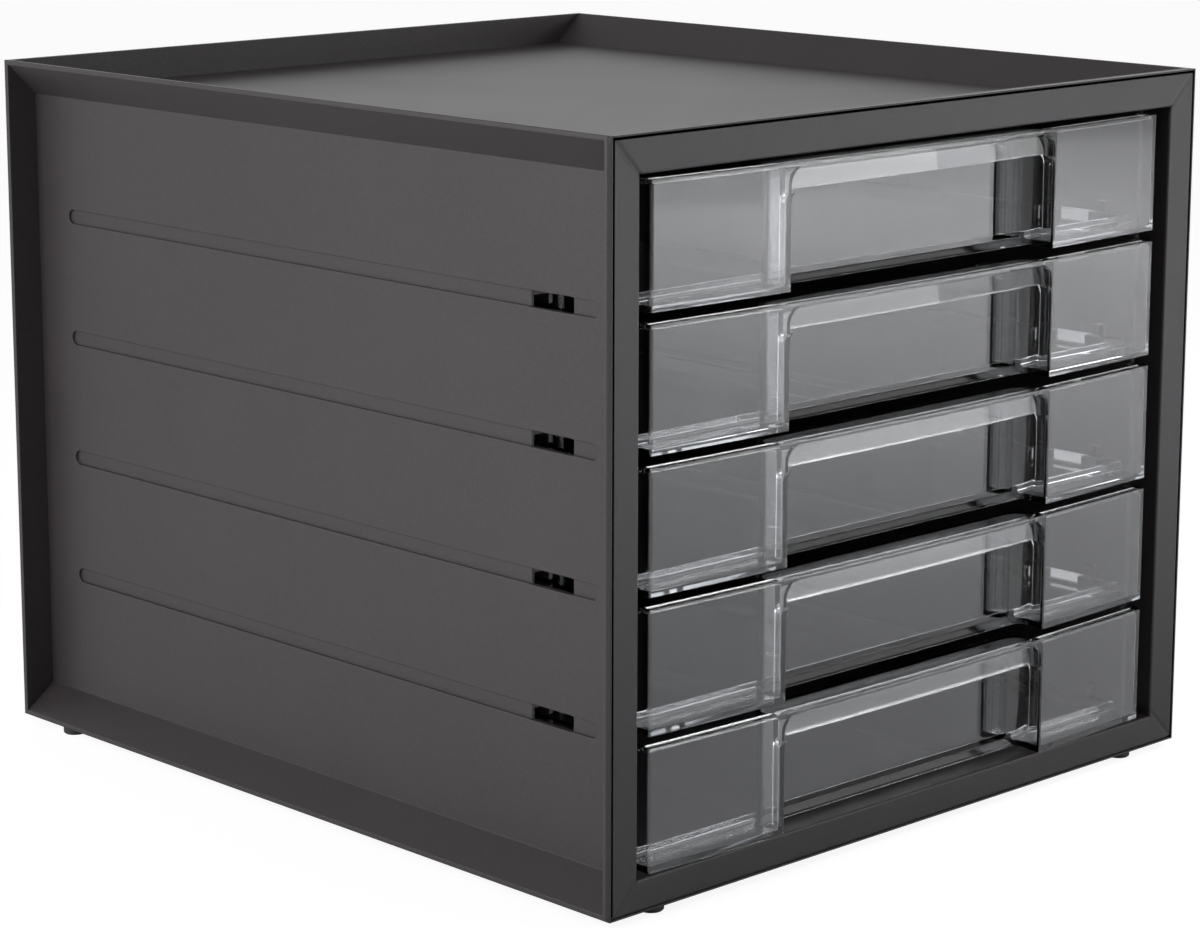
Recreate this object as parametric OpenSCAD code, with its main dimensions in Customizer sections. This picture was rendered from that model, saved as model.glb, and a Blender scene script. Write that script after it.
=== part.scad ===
// Desktop drawer unit: a dark moulded casing with flared, mitred edges, and five
// clear drawers for letter and A4 sheets that slide out to the front.
// X runs to the right, Y to the back and Z up, all in millimetres. The origin is
// under the middle of the casing, level with the soles of the feet.

/* [Casing] */
// width over the flared edges
body_w = 304; // [296:1:330]
// depth from the face of the front frame to the back
body_d = 334; // [330:1:360]
// height without the feet
body_h = 260; // [240:1:300]
// thickness of the flat panels
wall = 2; // [1.8:0.1:2.4]
// distance from the tips of the side edges in to the flat side panels
side_flare = 12.5; // [9:0.5:15]
// depth of the tray in the top
tray_depth = 12; // [9:0.5:15]
// depth of the hollow under the bottom panel
base_hollow = 9.2; // [8:0.2:12]
// thickness of one flared edge at its tip
edge_tip = 1.6; // [1.3:0.1:1.8]

/* [Front frame] */
// how far back the frame reaches inside the casing
frame_depth = 14.5; // [12:0.5:18]
// thickness of the frame's face at its outer edge
face_plate = 1.8; // [1.5:0.1:2.2]
// how much deeper the face lies at the opening than at its outer edge
face_dish = 0.8; // [0.4:0.1:1.2]
// width of the shadow line cut round the face, close to its outer edge
line_w = 0.9; // [0.6:0.1:1.1]
// thickness of the collar round the opening
collar = 2; // [1.6:0.1:2.4]
// radius of the rounded edge of the opening
opening_round = 0.8; // [0.5:0.1:1]

/* [Drawers] */
// space between one drawer's rim and the base of the drawer above it
drawer_gap = 4.1; // [3.8:0.1:5]
// thickness of the drawer's walls and floor
shell = 1.9; // [1.6:0.1:2.1]
// radius of the bow of the drawer's front seen from above
bow_radius = 2430; // [1800:10:4000]
// how far the middle of the bow stands out in front of the casing
bow_crown = 1.6; // [0.5:0.1:3]
// half the width of the finger notch in the drawer's front
notch_half = 69.3; // [50:0.1:85]
// depth of the finger notch behind the casing's front
notch_depth = 13.4; // [12:0.1:18]
// height of the hooded lip that hangs over the notch
lip_height = 7.6; // [6:0.1:10]
// how far the lip's face lies behind the drawer's front
lip_set = 2.5; // [1.5:0.1:3.5]

/* [Slides] */
// height of the groove pressed into the side panel behind each rail
groove_h = 5.5; // [4.5:0.1:6]
// depth of that groove
groove_depth = 1; // [0.6:0.1:1.2]
// how far a rail stands out inside the casing
rail_reach = 8.5; // [7.5:0.1:9.5]
// play between a drawer's floor and the rail under it
slide_play = 0.3; // [0.3:0.05:0.4]
// length of the window through each groove
slot_length = 20.4; // [14:0.2:24]

/* [Feet] */
// height of the feet below the casing
foot_drop = 3; // [2:0.1:5]
// radius of a foot
foot_radius = 4.5; // [3.5:0.1:5]

/* [Hidden] */
$fn = 48;
// facets of the very large bow
bow_fn = 720;
drawer_count = 5;
half_w = body_w / 2;
// how far one feature is sunk into the next so that they fuse
weld = 0.5;

// flat panels
side_out = half_w - side_flare;
side_in = side_out - wall;
top_out = body_h - tray_depth;
top_in = top_out - wall;
base_in = base_hollow + wall;
back_in = body_d - wall;

// opening in the front frame
opening_half = side_in + 1;
opening_top = top_in + 0.6;
opening_low = base_in + 0.1;
face_back = face_dish + face_plate;
line_rim = 0.6;
line_depth = 1.2;

// stack of drawers
top_clear = 1.8;
base_clear = 0.6;
pitch = (top_in - base_in - top_clear - base_clear + drawer_gap) / drawer_count;
drawer_h = pitch - drawer_gap;
first_base = base_in + base_clear + (drawer_count - 1) * pitch;

// one drawer, measured from its own base and from the casing's front
drawer_half = side_in - 5.2;
drawer_back = body_d - 12;
bow_y = bow_radius - bow_crown;
front_corner = 1.2;
back_corner = 6;
floor_under = 2.75;
floor_top = floor_under + shell;
rim_h = 1.5;
rim_out = 2.2;
rim_start = 6;
rim_depth = 3.7;
shelf_top = drawer_h - 1.1;
shelf_under = shelf_top - shell;
lip_lean = 0.8;
lip_low = drawer_h - rim_h - lip_height;
lip_corner = 4.5;
window_corner = 6;
notch_corner = 5.5;
notch_flare = 8;
skirt_run = 2.1;

// rails, their windows and the stops
rail_front = 18;
rail_back = body_d - 16;
rail_plate = 2;
rail_lip = 1.8;
rail_top = floor_under - slide_play;
groove_front = rail_front + 0.4;
groove_back = body_d - 22;
slot_front = 31.3;
stop_depth = 4;
stop_reach = 3.5;
stop_h = 5.5;
catch_front = drawer_back - 11;
catch_depth = 4;
catch_reach = 3.5;
catch_low = floor_under + 0.45;
catch_h = 4.5;
strip_in = drawer_half - 8;
strip_w = 6;

// back panel's locating lip
lip_play = 0.2;
lip_depth = 4;

// feet
foot_front_x = half_w - 25.5;
foot_front_y = 6.5;
foot_back_x = half_w - 5;
foot_back_y = body_d - 27;
foot_bevel = 0.5;

// height of a drawer's base above the casing's lower edge; drawer 1 is the top one
function base_of(k) = first_base - (k - 1) * pitch;

// stands the casing's drawing on its feet, with the origin in the middle
module placed() {
    translate([0, -body_d / 2, foot_drop])
        children();
}

// outline drawn in X and Z, run from front to back
module along_y(y0, y1) {
    translate([0, y1, 0])
        rotate([90, 0, 0])
            linear_extrude(height = y1 - y0)
                children();
}

// outline drawn in Y and Z, run from left to right
module along_x(x0, x1) {
    translate([x0, 0, 0])
        rotate([90, 0, 90])
            linear_extrude(height = x1 - x0)
                children();
}

// outline drawn in X and Y, run upwards
module along_z(z0, z1) {
    translate([0, 0, z0])
        linear_extrude(height = z1 - z0)
            children();
}

// rectangle between two corners
module box_2d(x0, x1, y0, y1) {
    translate([x0, y0])
        square([x1 - x0, y1 - y0]);
}

// Flat panel with flared edges at the front and along both long sides, lying with
// its outer face up. u_in and w_in give its inner corners, u_tip and w_tip its tips.
module flared_panel(u_in, u_tip, w_in, w_tip) {
    low = w_in - wall;
    high = w_in + wall;
    share = wall / (w_tip - w_in);
    u_left = u_in[0] + share * (u_tip[0] - u_in[0]) + edge_tip;
    u_right = u_in[1] + share * (u_tip[1] - u_in[1]) - edge_tip;
    v_front = frame_depth + share * (face_plate - frame_depth) + edge_tip;
    difference() {
        union() {
            along_y(face_plate, back_in)
                polygon([[u_tip[0], low], [u_tip[1], low], [u_tip[1], w_tip],
                         [u_tip[1] - edge_tip, w_tip], [u_right, high], [u_left, high],
                         [u_tip[0] + edge_tip, w_tip], [u_tip[0], w_tip]]);
            along_x(u_tip[0], u_tip[1])
                polygon([[face_plate, low], [v_front, low], [v_front, high],
                         [face_plate + edge_tip, w_tip], [face_plate, w_tip]]);
        }
        along_y(-1, body_d)
            polygon([[u_tip[0] - 1, low - 1], [u_tip[1] + 1, low - 1], [u_tip[1] + 1, w_tip],
                     [u_tip[1], w_tip], [u_in[1], w_in], [u_in[0], w_in],
                     [u_tip[0], w_tip], [u_tip[0] - 1, w_tip]]);
        along_x(u_tip[0] - 1, u_tip[1] + 1)
            polygon([[0, low - 1], [frame_depth, low - 1], [frame_depth, w_in],
                     [face_plate, w_tip], [0, w_tip]]);
    }
}

// Front frame: dished face with mitred corners, and a collar that runs back to the panels.
module front_frame() {
    face_left = opening_half + opening_round;
    face_top = opening_top + opening_round;
    face_low = opening_low - opening_round;
    color("#2b2b2d")
        intersection() {
            difference() {
                union() {
                    for (side = [-1, 1])
                        along_z(0, body_h)
                            polygon([[side * half_w, 0], [side * half_w, face_back],
                                     [side * face_left, face_back], [side * face_left, face_dish]]);
                    along_x(-half_w, half_w)
                        polygon([[0, body_h], [face_back, body_h],
                                 [face_back, face_top], [face_dish, face_top]]);
                    along_x(-half_w, half_w)
                        polygon([[0, 0], [face_back, 0],
                                 [face_back, face_low], [face_dish, face_low]]);
                    along_y(face_dish, frame_depth)
                        box_2d(-opening_half - collar, opening_half + collar,
                               opening_low - collar, opening_top + collar);
                }
                along_y(-1, frame_depth + 1)
                    box_2d(-opening_half, opening_half, opening_low, opening_top);
                opening_edges(face_left, face_low, face_top);
                shadow_line();
            }
            along_z(-1, body_h + 1)
                polygon([[-half_w, -1], [half_w, -1], [half_w, face_plate],
                         [side_in, frame_depth], [-side_in, frame_depth], [-half_w, face_plate]]);
            along_x(-half_w - 1, half_w + 1)
                polygon([[-1, 0], [face_plate, 0], [frame_depth, base_in],
                         [frame_depth, top_in], [face_plate, body_h], [-1, body_h]]);
        }
}

// the narrow groove that parts the face from the edges of the casing
module shadow_line() {
    outer = line_rim;
    inner = line_rim + line_w;
    along_y(-1, line_depth)
        difference() {
            box_2d(-half_w + outer, half_w - outer, outer, body_h - outer);
            box_2d(-half_w + inner, half_w - inner, inner, body_h - inner);
        }
}

// what the rounded edge takes away all round the opening
module opening_edges(face_left, face_low, face_top) {
    deep = face_dish + opening_round;
    for (side = [-1, 1])
        along_z(face_low, face_top)
            difference() {
                box_2d(min(side * opening_half, side * face_left),
                       max(side * opening_half, side * face_left), 0, deep);
                translate([side * face_left, deep])
                    circle(r = opening_round);
            }
    along_x(-face_left, face_left)
        difference() {
            box_2d(0, deep, opening_top, face_top);
            translate([deep, face_top])
                circle(r = opening_round);
        }
    along_x(-face_left, face_left)
        difference() {
            box_2d(0, deep, face_low, opening_low);
            translate([deep, face_low])
                circle(r = opening_round);
        }
}

// Top panel: a tray between four raised edges.
module top_panel() {
    color("#343436")
        flared_panel([-side_in, side_in], [-half_w, half_w], top_in, body_h);
}

// Bottom panel: the same form upside down, with a runner strip for the lowest drawer each side.
module bottom_panel() {
    color("#2b2b2d") {
        mirror([0, 0, 1])
            flared_panel([-side_in, side_in], [-half_w, half_w], -base_in, 0);
        for (side = [0, 1])
            mirror([side, 0, 0])
                along_y(rail_front, rail_back)
                    box_2d(strip_in, strip_in + strip_w,
                           base_in - weld, base_in + base_clear + rail_top);
    }
}

// groove outline seen from the side, with round ends
module groove_plan() {
    end = groove_h / 2;
    box_2d(groove_front + end, groove_back - end, -end, end);
    for (y = [groove_front + end, groove_back - end])
        translate([y, 0])
            circle(r = end);
}

// Rail inside the side panel: a shelf with a turned-down edge, open at the window.
module rail(z_top) {
    z_low = z_top - groove_h;
    difference() {
        along_y(rail_front, rail_back)
            polygon([[side_in + weld, z_top], [side_in - rail_reach, z_top],
                     [side_in - rail_reach, z_low], [side_in - rail_reach + rail_lip, z_low],
                     [side_in - rail_reach + rail_lip, z_top - rail_plate],
                     [side_in + weld, z_top - rail_plate]]);
        window(z_top);
    }
}

// window through the wall and the rail behind it
module window(z_top) {
    along_x(side_in - rail_reach - 1, half_w)
        box_2d(slot_front, slot_front + slot_length, z_top - groove_h - 0.15, z_top + 0.15);
}

// Stop that a drawer's catch comes up against.
module drawer_stop(z_low) {
    along_z(z_low - weld, z_low + stop_h)
        box_2d(side_in - stop_reach, side_in + weld, slot_front - stop_depth, slot_front);
}

// Right side panel, with the grooves outside and the rails and stops inside.
module side_panel() {
    difference() {
        rotate([0, 90, 0])
            flared_panel([-top_in, -base_in], [-body_h, 0], side_in, half_w);
        for (k = [1 : drawer_count - 1]) {
            translate([0, 0, base_of(k) + rail_top - groove_h / 2])
                along_x(side_out - groove_depth, half_w)
                    groove_plan();
            window(base_of(k) + rail_top);
        }
    }
    for (k = [1 : drawer_count - 1])
        rail(base_of(k) + rail_top);
    for (k = [1 : drawer_count])
        drawer_stop(base_of(k) + rail_top);
}

module right_panel() {
    color("#2e2e30")
        side_panel();
}

module left_panel() {
    color("#2e2e30")
        mirror([1, 0, 0])
            side_panel();
}

// Back panel: a flat plate that closes the casing, with a lip that sits inside the walls.
module back_panel() {
    outer = side_in - lip_play;
    inner = outer - wall;
    color("#2b2b2d") {
        along_y(back_in, body_d)
            box_2d(-half_w, half_w, 0, body_h);
        along_y(back_in - lip_depth, back_in + weld)
            difference() {
                box_2d(-outer, outer, base_in + lip_play, top_in - lip_play);
                box_2d(-inner, inner, base_in + lip_play + wall, top_in - lip_play - wall);
            }
    }
}

// Outline of a drawer from above, drawn in by inset: bowed front and four round corners.
module tub_plan(inset) {
    half = drawer_half - inset;
    bow = bow_radius - inset;
    r_front = max(front_corner - inset, 0.3);
    x_front = half - r_front;
    y_front = bow_y - sqrt(pow(bow - r_front, 2) - pow(x_front, 2));
    r_back = back_corner - inset;
    y_back = drawer_back - inset;
    intersection() {
        translate([0, bow_y])
            circle(r = bow, $fn = bow_fn);
        box_2d(-x_front, x_front, -bow_crown - 1, notch_depth);
    }
    box_2d(-half, half, y_front, y_back - r_back);
    box_2d(-half + r_back, half - r_back, y_front, y_back);
    for (side = [-1, 1]) {
        translate([side * x_front, y_front])
            circle(r = r_front);
        translate([side * (half - r_back), y_back - r_back])
            circle(r = r_back);
    }
}

// Outline of the finger notch from above, grown by the given thickness: it widens
// towards the back and has round inner corners.
module notch_plan(grow) {
    y_start = -bow_crown - 1;
    y_end = notch_depth + grow;
    r = notch_corner + grow;
    edge_0 = notch_half + grow / cos(notch_flare);
    lip_y = lip_set - bow_crown;
    y_c = y_end - r;
    x_c = edge_0 + (y_c - lip_y) * tan(notch_flare) - r / cos(notch_flare);
    x_start = edge_0 + (y_start - lip_y) * tan(notch_flare);
    x_turn = x_c + r * cos(notch_flare);
    y_turn = y_c - r * sin(notch_flare);
    polygon([[-x_start, y_start], [x_start, y_start], [x_turn, y_turn], [x_c, y_end],
             [-x_c, y_end], [-x_turn, y_turn]]);
    for (side = [-1, 1])
        translate([side * x_c, y_c])
            circle(r = r);
}

// opening with round upper corners, seen from the front
module arch(half, top, r) {
    box_2d(-half, half, -1, top - r);
    box_2d(-half + r, half - r, -1, top);
    for (side = [-1, 1])
        translate([side * (half - r), top - r])
            circle(r = r);
}

// everything more than the given distance behind the bowed front, seen from above
module behind_bow(distance) {
    translate([0, bow_y])
        circle(r = bow_radius - distance, $fn = bow_fn);
}

// space in front of the lip, whose face leans back towards the top
module before_lip() {
    top = drawer_h - rim_h;
    intersection() {
        along_y(-bow_crown - 1, notch_depth)
            arch(notch_half, top, window_corner);
        translate([0, bow_y, 0])
            rotate_extrude($fn = bow_fn)
                polygon([[bow_radius - lip_set, lip_low - 1], [bow_radius + 5, lip_low - 1],
                         [bow_radius + 5, top], [bow_radius - lip_set - lip_lean, top]]);
    }
}

// section of the front's base seen from the side, with the slope of the skirt at its back
module front_base(y_back, top) {
    polygon([[-bow_crown - 1, 0], [y_back - skirt_run, 0], [y_back, floor_under],
             [y_back, top], [-bow_crown - 1, top]]);
}

// the outside of the tub, still solid
module tub_outside() {
    along_z(floor_under, drawer_h)
        tub_plan(0);
    intersection() {
        along_z(0, floor_under + weld)
            difference() {
                tub_plan(0);
                notch_plan(0);
                box_2d(-notch_half + notch_corner, notch_half - notch_corner,
                       notch_depth - 1, notch_depth + shell + 1);
            }
        along_x(-drawer_half, drawer_half)
            front_base(notch_depth + shell, floor_under + weld);
    }
}

// the space for the sheets, and the deeper space at each end of the front
module tub_inside() {
    along_z(floor_top, drawer_h + 1)
        difference() {
            tub_plan(shell);
            notch_plan(shell);
        }
    intersection() {
        along_z(shell, floor_top + 1)
            difference() {
                tub_plan(shell);
                notch_plan(shell);
            }
        along_x(-drawer_half, drawer_half)
            front_base(notch_depth, floor_top + 1);
    }
}

// the finger notch under and behind the lip
module finger_notch() {
    lip_back = lip_set + lip_lean + shell;
    along_y(-bow_crown - 1, lip_back + 0.5)
        arch(notch_half, lip_low, lip_corner);
    along_z(-1, shelf_under)
        intersection() {
            notch_plan(0);
            behind_bow(lip_back);
        }
    before_lip();
    along_z(shelf_top, drawer_h + 1)
        intersection() {
            notch_plan(shell);
            behind_bow(rim_depth);
        }
}

// bar along the top of the front, and the flanges along both sides
module tub_rim() {
    along_z(drawer_h - rim_h, drawer_h)
        difference() {
            intersection() {
                tub_plan(0);
                box_2d(-drawer_half, drawer_half, -bow_crown - 1, notch_depth);
            }
            behind_bow(rim_depth);
        }
    for (side = [0, 1])
        mirror([side, 0, 0])
            along_z(drawer_h - rim_h, drawer_h)
                box_2d(drawer_half - weld, drawer_half + rim_out,
                       rim_start, drawer_back - back_corner);
}

// lip that slopes down and forward under the wall of the notch
module skirt() {
    reach = notch_half + 1.2;
    along_x(-reach, reach)
        polygon([[notch_depth, floor_under], [notch_depth - skirt_run, 0],
                 [notch_depth - skirt_run + shell, 0], [notch_depth + shell, floor_under],
                 [notch_depth + shell, floor_top], [notch_depth, floor_top]]);
}

// small lugs near the back that keep the drawer from being pulled right out
module catches() {
    for (side = [0, 1])
        mirror([side, 0, 0])
            along_z(catch_low, catch_low + catch_h)
                box_2d(drawer_half - weld, drawer_half + catch_reach,
                       catch_front, catch_front + catch_depth);
}

// One drawer, with its base at height zero.
module drawer() {
    difference() {
        tub_outside();
        tub_inside();
        finger_notch();
    }
    tub_rim();
    skirt();
    catches();
}

module drawer_at(k) {
    color([0.82, 0.85, 0.88, 0.45])
        translate([0, 0, base_of(k)])
            drawer();
}

// the free space under the bottom panel
module under_casing() {
    share = wall / base_in;
    x_foot = side_in + share * (half_w - side_in) - edge_tip;
    y_foot = frame_depth + share * (face_plate - frame_depth) + edge_tip;
    intersection() {
        along_y(0, back_in)
            polygon([[-half_w + edge_tip, 0], [half_w - edge_tip, 0],
                     [x_foot, base_hollow], [-x_foot, base_hollow]]);
        along_x(-half_w, half_w)
            polygon([[face_plate + edge_tip, 0], [y_foot, base_hollow],
                     [back_in, base_hollow], [back_in, 0]]);
    }
    along_z(-foot_drop, 0)
        box_2d(-half_w, half_w, 0, body_d);
}

// Stub foot, its top cut to fit the slope that it sits against.
module foot(x, y) {
    color("#1c1c1d")
        intersection() {
            translate([x, y, -foot_drop]) {
                cylinder(r1 = foot_radius - foot_bevel, r2 = foot_radius, h = foot_bevel);
                translate([0, 0, foot_bevel])
                    cylinder(r = foot_radius, h = foot_drop + base_hollow - foot_bevel - 1);
            }
            under_casing();
        }
}

placed() front_frame();
placed() top_panel();
placed() bottom_panel();
placed() left_panel();
placed() right_panel();
placed() back_panel();
placed() drawer_at(1);  // drawer_1
placed() drawer_at(2);  // drawer_2
placed() drawer_at(3);  // drawer_3
placed() drawer_at(4);  // drawer_4
placed() drawer_at(5);  // drawer_5
placed() foot(-foot_front_x, foot_front_y);  // foot_front_left
placed() foot(foot_front_x, foot_front_y);  // foot_front_right
placed() foot(-foot_back_x, foot_back_y);  // foot_rear_left
placed() foot(foot_back_x, foot_back_y);  // foot_rear_right
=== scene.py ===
"""Looks of the desktop drawer unit: dark moulded casing, five clear drawers, stub feet."""

import math

import bpy
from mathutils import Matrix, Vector


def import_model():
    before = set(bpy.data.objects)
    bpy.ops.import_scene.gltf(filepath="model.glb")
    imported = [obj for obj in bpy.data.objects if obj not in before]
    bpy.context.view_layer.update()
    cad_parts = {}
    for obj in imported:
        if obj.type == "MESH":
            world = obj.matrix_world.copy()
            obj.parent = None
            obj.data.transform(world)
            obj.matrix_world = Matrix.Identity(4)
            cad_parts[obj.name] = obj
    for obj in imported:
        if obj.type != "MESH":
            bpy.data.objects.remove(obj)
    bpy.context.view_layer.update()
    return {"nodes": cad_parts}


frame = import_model()
scene = bpy.context.scene
scene.view_settings.view_transform = "Standard"

PANELS = ("top_panel", "bottom_panel", "left_panel", "right_panel", "back_panel")
DRAWERS = tuple(f"drawer_{k}" for k in range(1, 6))
FEET = ("foot_front_left", "foot_front_right", "foot_rear_left", "foot_rear_right")

# Lengths are in metres.

# the casing: half its width, half its height, the height of its middle, and the y of its front
HALF_WIDTH = 0.152
HALF_HEIGHT = 0.13
MIDDLE = 0.133
FRONT = -0.167

# the groove near the frame's rim, painted in shadow at the top and sides: its two edges, counted
# inwards from the rim, and a depth behind the front that only the groove reaches
GROOVE_START = 0.0005
GROOVE_END = 0.0016
GROOVE_DEPTH = 0.00025

# the creases along the frame's mitres: half their width, their depth, and how much painted shade
# darkens them
CREASE_REACH = 0.002
CREASE_DEPTH = 0.0002
CREASE_PAINTED_SHADE = 0.5

# the radii of the softened edges
CASING_EDGE = 0.0005
DRAWER_EDGE = 0.0003

# the slight warmth of the dark plastic: its red and blue next to its green
PLASTIC_RED = 1.2
PLASTIC_BLUE = 1.06

# from the middle of the floor to its edge
FLOOR_REACH = 12.0


# ---------------------------------------------------------------- node helpers

class Nodes:
    """Short ways to add and join the nodes of one material or world."""

    def __init__(self, tree):
        self.tree = tree
        tree.nodes.clear()

    def add(self, kind, inputs=None, **settings):
        """A new node; each input is joined to the socket or set to the value that is given."""
        node = self.tree.nodes.new(kind)
        for name, value in settings.items():
            setattr(node, name, value)
        for name, value in (inputs or {}).items():
            socket = node.inputs[name]
            if isinstance(value, bpy.types.NodeSocket):
                self.tree.links.new(value, socket)
            else:
                socket.default_value = value
        return node

    def noise(self, scale, detail, rough, stretch=(1, 1, 1)):
        """Smooth noise fixed to the object; it seldom leaves 0.3 to 0.7."""
        place = self.add("ShaderNodeTexCoord").outputs["Object"]
        mapping = self.add("ShaderNodeMapping", {"Vector": place, "Scale": stretch})
        return self.add("ShaderNodeTexNoise", {
            "Vector": mapping.outputs["Vector"], "Scale": scale,
            "Detail": detail, "Roughness": rough}).outputs["Fac"]

    def spread(self, value, low, high, start=0.3, end=0.7):
        """The value from start to end turned into low to high, and held there beyond them."""
        return self.add("ShaderNodeMapRange", {
            "Value": value, "From Min": start, "From Max": end,
            "To Min": low, "To Max": high}).outputs["Result"]

    def maths(self, operation, *values):
        """The result of one sum, product or comparison."""
        node = self.add("ShaderNodeMath", dict(enumerate(values)), operation=operation)
        return node.outputs["Value"]

    def mix_colour(self, factor, first, second):
        """A colour between two others; the numbers are the colour sockets of the mix node."""
        node = self.add("ShaderNodeMix", {0: factor, 6: first, 7: second}, data_type="RGBA")
        return node.outputs[2]


def material(name):
    """A new, empty material and its nodes."""
    made = bpy.data.materials.new(name)
    made.use_nodes = True
    return made, Nodes(made.node_tree)


def grey(value, red=1.0, blue=1.0):
    """A grey colour, with its red and blue scaled for a slight tint."""
    return (value * red, value, value * blue, 1)


# ---------------------------------------------------------------- materials

def frame_painted_shade_masks(n):
    """Masks of the creases along the frame's mitres, which get a dip and painted shade, and of the
    painted shadow in the groove at its top and sides.
    """
    place = n.add("ShaderNodeSeparateXYZ", {"Vector": n.add("ShaderNodeTexCoord").outputs["Object"]})
    height = n.maths("ABSOLUTE", n.maths("SUBTRACT", place.outputs["Z"], MIDDLE))
    beside = n.maths("SUBTRACT", HALF_WIDTH, n.maths("ABSOLUTE", place.outputs["X"]))
    above = n.maths("SUBTRACT", HALF_HEIGHT, height)
    off_mitre = n.maths("ABSOLUTE", n.maths("SUBTRACT", beside, above))
    crease_dip_and_shade = n.spread(off_mitre, 1, 0, 0, CREASE_REACH)
    rim = n.maths("MINIMUM", beside, above)
    sunk = n.maths("GREATER_THAN", place.outputs["Y"], FRONT + GROOVE_DEPTH)
    inside_start = n.maths("GREATER_THAN", rim, GROOVE_START)
    before_end = n.maths("LESS_THAN", rim, GROOVE_END)
    band = n.maths("MULTIPLY", inside_start, before_end)
    # the groove along the bottom edge is left without painted shadow
    over_base = n.maths("GREATER_THAN", place.outputs["Z"], MIDDLE - HALF_HEIGHT + GROOVE_END)
    return crease_dip_and_shade, n.maths("MULTIPLY", n.maths("MULTIPLY", sunk, band), over_base)


def casing_plastic(name, tone, roughness, specular, mitre_dip_and_painted_shade=False):
    """Dark moulded plastic with a fine sparked grain, faint cloudy patches and rounded edges."""
    made, n = material(name)
    patches = n.noise(scale=14, detail=3, rough=0.6)
    speckle = n.noise(scale=1100, detail=2, rough=0.6)
    deep, plain, pale = (grey(tone * share, PLASTIC_RED, PLASTIC_BLUE) for share in (0.92, 1.08, 2))
    cloudy = n.mix_colour(n.spread(patches, 0, 1), deep, plain)
    colour = n.mix_colour(n.spread(speckle, 0, 0.35, 0.35, 0.65), cloudy, pale)
    grain = n.noise(scale=1700, detail=2, rough=0.5)
    normal = n.add("ShaderNodeBevel", {"Radius": CASING_EDGE}, samples=4).outputs["Normal"]
    if mitre_dip_and_painted_shade:
        crease_dip_and_shade, painted_groove_shadow = frame_painted_shade_masks(n)
        # painted shade: the mitre creases are darkened in colour, on top of their small dip
        painted_shade = n.maths("MAXIMUM", n.maths("MULTIPLY", crease_dip_and_shade, CREASE_PAINTED_SHADE), painted_groove_shadow)
        colour = n.mix_colour(painted_shade, colour, grey(0.001))
        # painted shadow: in the groove the colour above is near black, and here its sheen is taken
        # away
        specular = n.spread(painted_groove_shadow, specular, 0, 0, 1)
        normal = n.add("ShaderNodeBump", {
            "Height": crease_dip_and_shade, "Strength": 1, "Distance": CREASE_DEPTH, "Normal": normal},
            invert=True).outputs["Normal"]
    bump = n.add("ShaderNodeBump", {
        "Height": grain, "Strength": 0.3, "Distance": 0.00006, "Normal": normal})
    shader = n.add("ShaderNodeBsdfPrincipled", {
        "Base Color": colour, "Roughness": n.spread(patches, roughness - 0.015, roughness + 0.015),
        "IOR": 1.5, "Specular IOR Level": specular, "Normal": bump.outputs["Normal"]})
    n.add("ShaderNodeOutputMaterial", {"Surface": shader.outputs["BSDF"]})
    return made


def clear_plastic():
    """Clear polished plastic with the faint waviness of a moulding.

    It lets most of the lamps' light through, and darkens light that travels far inside it.
    """
    made, n = material("clear_plastic")
    waves = n.noise(scale=40, detail=1, rough=0.4, stretch=(0.5, 0.5, 1))
    film = n.noise(scale=60, detail=3, rough=0.6)
    rounded = n.add("ShaderNodeBevel", {"Radius": DRAWER_EDGE}, samples=4)
    bump = n.add("ShaderNodeBump", {
        "Height": waves, "Strength": 0.015, "Distance": 0.0001, "Normal": rounded.outputs["Normal"]})
    shader = n.add("ShaderNodeBsdfPrincipled", {
        "Base Color": (0.965, 0.978, 0.995, 1), "Roughness": n.spread(film, 0.0, 0.035),
        "IOR": 1.58, "Transmission Weight": 1.0, "Normal": bump.outputs["Normal"]})
    through = n.add("ShaderNodeBsdfTransparent", {"Color": grey(0.9)})
    path = n.add("ShaderNodeLightPath")
    mixed = n.add("ShaderNodeMixShader", {
        0: path.outputs["Is Shadow Ray"], 1: shader.outputs["BSDF"], 2: through.outputs["BSDF"]})
    depth = n.add("ShaderNodeVolumeAbsorption", {"Color": (0, 0.05, 0.1, 1), "Density": 7.0})
    n.add("ShaderNodeOutputMaterial", {
        "Surface": mixed.outputs["Shader"], "Volume": depth.outputs["Volume"]})
    return made


def foot_rubber():
    """Matt black rubber with a trace of dust."""
    made, n = material("foot_rubber")
    dust = n.noise(scale=400, detail=3, rough=0.6)
    colour = n.mix_colour(n.spread(dust, 0, 1), grey(0.014), grey(0.03, 1.05))
    bump = n.add("ShaderNodeBump", {"Height": dust, "Strength": 0.3, "Distance": 0.0002})
    shader = n.add("ShaderNodeBsdfPrincipled", {
        "Base Color": colour, "Roughness": n.spread(dust, 0.65, 0.85),
        "Normal": bump.outputs["Normal"]})
    n.add("ShaderNodeOutputMaterial", {"Surface": shader.outputs["BSDF"]})
    return made


def paint(names, made):
    """Gives one material to each of the named pieces."""
    for name in names:
        obj = frame["nodes"][name]
        obj.data.materials.clear()
        obj.data.materials.append(made)


paint(PANELS, casing_plastic("casing_plastic", tone=0.02, roughness=0.46, specular=0.5))
paint(["front_frame"],
      casing_plastic("frame_plastic", tone=0.011, roughness=0.38, specular=0.33, mitre_dip_and_painted_shade=True))
paint(DRAWERS, clear_plastic())
paint(FEET, foot_rubber())


# ---------------------------------------------------------------- studio

def seen_directly(n):
    """One for rays from the eye, straight or through clear plastic, and zero for all other light."""
    path = n.add("ShaderNodeLightPath")
    return n.maths("MAXIMUM", path.outputs["Is Camera Ray"], path.outputs["Is Transmission Ray"])


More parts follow.
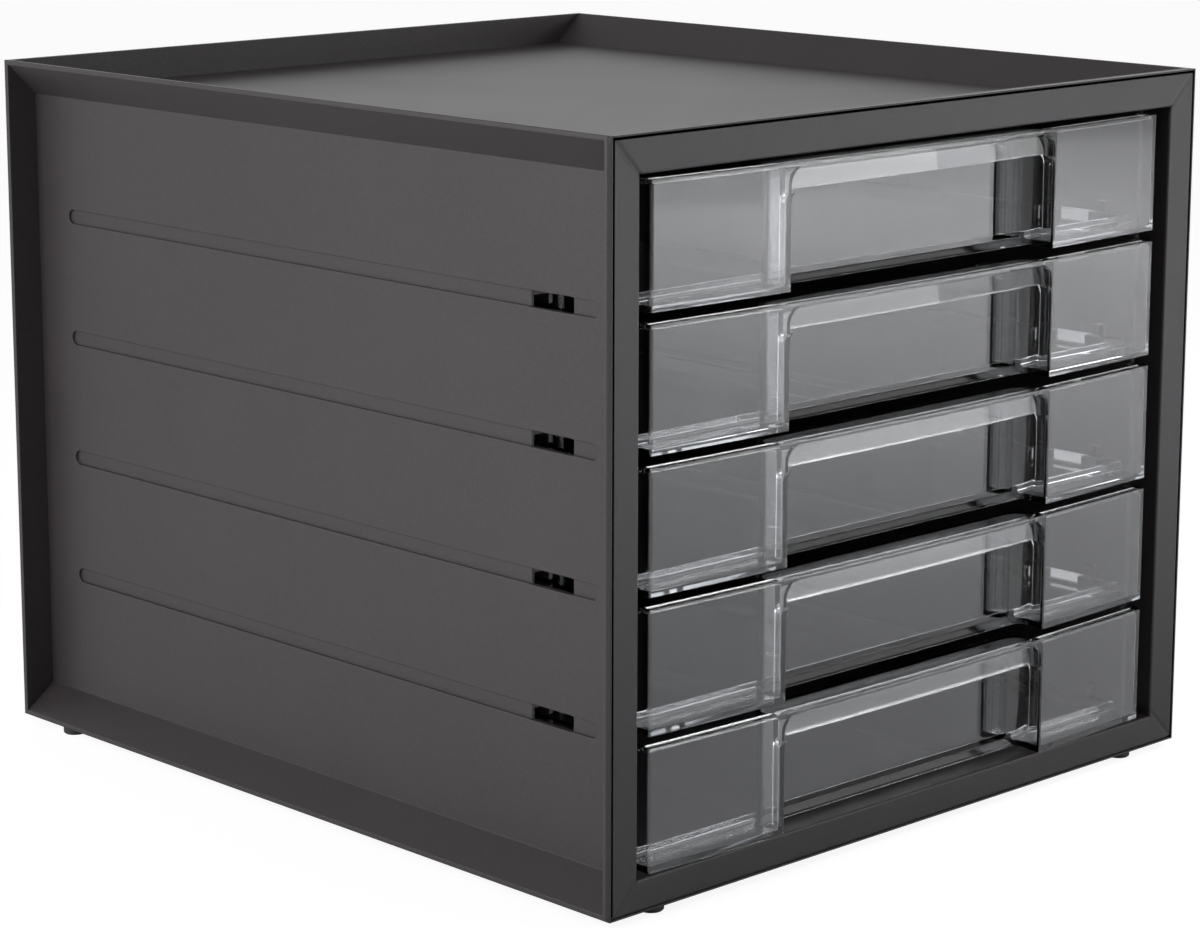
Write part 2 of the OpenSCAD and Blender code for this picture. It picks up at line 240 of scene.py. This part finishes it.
def floor():
    """A white floor that carries a faint shadow to the eye and takes the lamps' light."""
    made, n = material("floor_white")
    path = n.add("ShaderNodeLightPath")
    colour = n.mix_colour(seen_directly(n), grey(0.93, 0.99, 1.03), grey(0.16))
    lit = n.add("ShaderNodeBsdfDiffuse", {"Color": colour})
    straight = n.maths("MULTIPLY", path.outputs["Is Camera Ray"], 0.9)
    through = n.maths("MULTIPLY", path.outputs["Is Transmission Ray"], 0.6)
    glow = n.add("ShaderNodeEmission", {
        "Color": grey(1.0), "Strength": n.maths("ADD", straight, through)})
    both = n.add("ShaderNodeAddShader", {0: lit.outputs["BSDF"], 1: glow.outputs["Emission"]})
    n.add("ShaderNodeOutputMaterial", {"Surface": both.outputs["Shader"]})
    corners = [(x * FLOOR_REACH, y * FLOOR_REACH, 0) for x, y in ((-1, -1), (1, -1), (1, 1), (-1, 1))]
    mesh = bpy.data.meshes.new("floor")
    mesh.from_pydata(corners, [], [(0, 1, 2, 3)])
    obj = bpy.data.objects.new("floor", mesh)
    obj.data.materials.append(made)
    scene.collection.objects.link(obj)


def world():
    """A white backdrop behind the object, and a dimmer room in front of it."""
    made = bpy.data.worlds.new("studio")
    made.use_nodes = True
    scene.world = made
    n = Nodes(made.node_tree)
    place = n.add("ShaderNodeTexCoord").outputs["Generated"]
    direction = n.add("ShaderNodeSeparateXYZ", {"Vector": place})
    behind = n.spread(direction.outputs["Y"], 0, 1.25, -0.2, 0.5)
    low = n.spread(direction.outputs["Z"], 1, 0, 0.2, 0.55)
    level = n.maths("ADD", n.maths("MULTIPLY", behind, low), 0.3)
    soft = n.add("ShaderNodeBackground", {"Color": grey(1.0), "Strength": level})
    white = n.add("ShaderNodeBackground", {"Color": grey(1.0), "Strength": 1.0})
    mixed = n.add("ShaderNodeMixShader", {
        0: seen_directly(n), 1: soft.outputs["Background"], 2: white.outputs["Background"]})
    n.add("ShaderNodeOutputWorld", {"Surface": mixed.outputs["Shader"]})


def softbox(name, place, aim, width, height, power, spread=180):
    """A lamp with a rectangular face, aimed at a point; a low spread, in degrees, narrows its beam."""
    light = bpy.data.lights.new(name, "AREA")
    light.spread = math.radians(spread)
    light.shape = "RECTANGLE"
    light.size, light.size_y = width, height
    light.energy = power
    obj = bpy.data.objects.new(name, light)
    obj.location = place
    obj.rotation_euler = (Vector(aim) - Vector(place)).to_track_quat("-Z", "Y").to_euler()
    obj.visible_camera = False
    scene.collection.objects.link(obj)


def camera():
    """The photograph's view: from the front left, just above the top."""
    data = bpy.data.cameras.new("camera")
    data.sensor_width = 36
    data.lens = 103.301
    data.shift_x = 0.03627
    data.shift_y = -0.06
    obj = bpy.data.objects.new("camera", data)
    obj.location = (-0.90274, -0.93878, 0.39381)
    downward, roll, heading = 11.2816, 0.029, -43.2875
    obj.rotation_euler = [math.radians(angle) for angle in (90 - downward, roll, heading)]
    scene.collection.objects.link(obj)
    scene.camera = obj


floor()
world()

# low and high lamps for the frame and the drawer fronts
softbox("front_right_softbox", (1.65, -1.45, 0.29), (0.1, -0.1, 0.25), 1.0, 0.36, power=1.8)
softbox("front_low_softbox", (0.9, -1.5, 0.25), (0, -0.1, 0.15), 0.9, 0.4, power=2.1)
softbox("front_high_softbox", (1.3, -1.5, 0.75), (0, -0.1, 0.15), 0.9, 0.4, power=7)

# narrow beams that brighten the floor where the drawer fronts mirror it
softbox("far_floor_softbox", (1.15, -1.4, 1.6), (1.15, -1.39, 0), 0.9, 0.9, power=13, spread=80)
softbox("near_floor_softbox", (0.6, -0.86, 1.6), (0.6, -0.85, 0), 0.9, 0.9, power=6, spread=80)

# a lamp for the left side
softbox("left_softbox", (-1.15, 0.15, 0.55), (-0.15, -0.05, 0.13), 0.7, 0.7, power=10)

camera()
